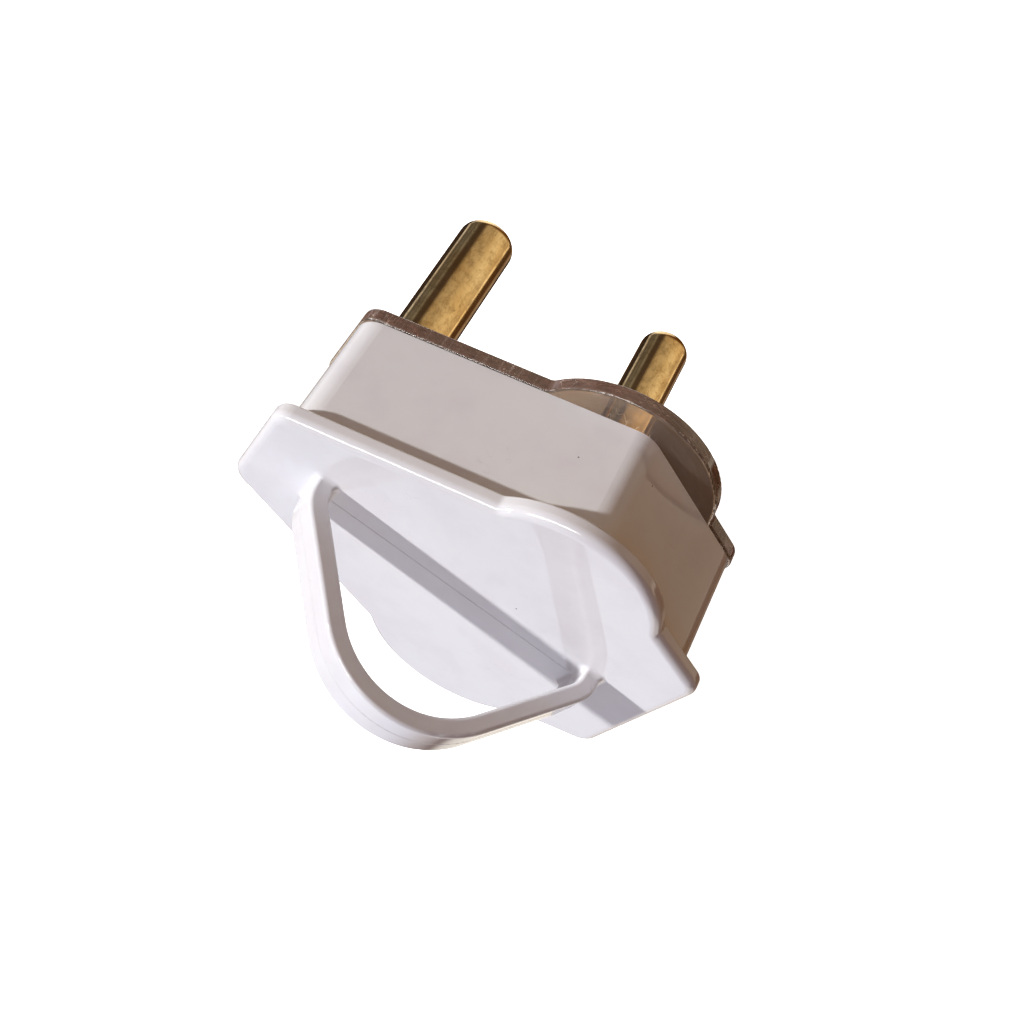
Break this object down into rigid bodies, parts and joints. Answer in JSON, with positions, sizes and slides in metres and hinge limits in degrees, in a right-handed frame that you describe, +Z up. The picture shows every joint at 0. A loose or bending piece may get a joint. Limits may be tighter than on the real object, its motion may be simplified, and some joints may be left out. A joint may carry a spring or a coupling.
{
  "type": "three-pin plug top",
  "caption": "Rewirable round-pin mains plug top: white moulded cover with a D-shaped pull loop on its back, clear lobed pin plate, solid brass pins with the earth pin the longest.",
  "frame": {"origin": "on the socket side of the pin plate, midway between the live and neutral pins", "axes": "+Y is the way the pins point into the socket, +Z runs up to the earth pin, +X is the live side"},
  "size_m": [0.0554, 0.0747, 0.0637],
  "materials": {
    "white_moulding": "gloss moulded urea",
    "clear_moulding": "clear moulded polycarbonate",
    "pin_brass": "turned and polished",
    "insert_brass": "turned",
    "screw_brass": "turned, slotted",
    "screw_steel": "zinc plated",
    "grip_bar": "moulded nylon"
  },
  "bodies": {
    "root": {"body_shell": "white_moulding", "pin_plate": "clear_moulding", "earth_pin": "pin_brass", "live_pin": "pin_brass", "neutral_pin": "pin_brass", "earth_terminal_screw": "screw_brass", "live_terminal_screw": "screw_brass", "neutral_terminal_screw": "screw_brass", "cover_insert_live_side": "insert_brass", "cover_insert_neutral_side": "insert_brass", "cover_screw_live_side": "screw_steel", "cover_screw_neutral_side": "screw_steel", "cord_grip_bar": "grip_bar", "grip_screw_live_side": "screw_steel", "grip_screw_neutral_side": "screw_steel"}
  },
  "joints": []
}
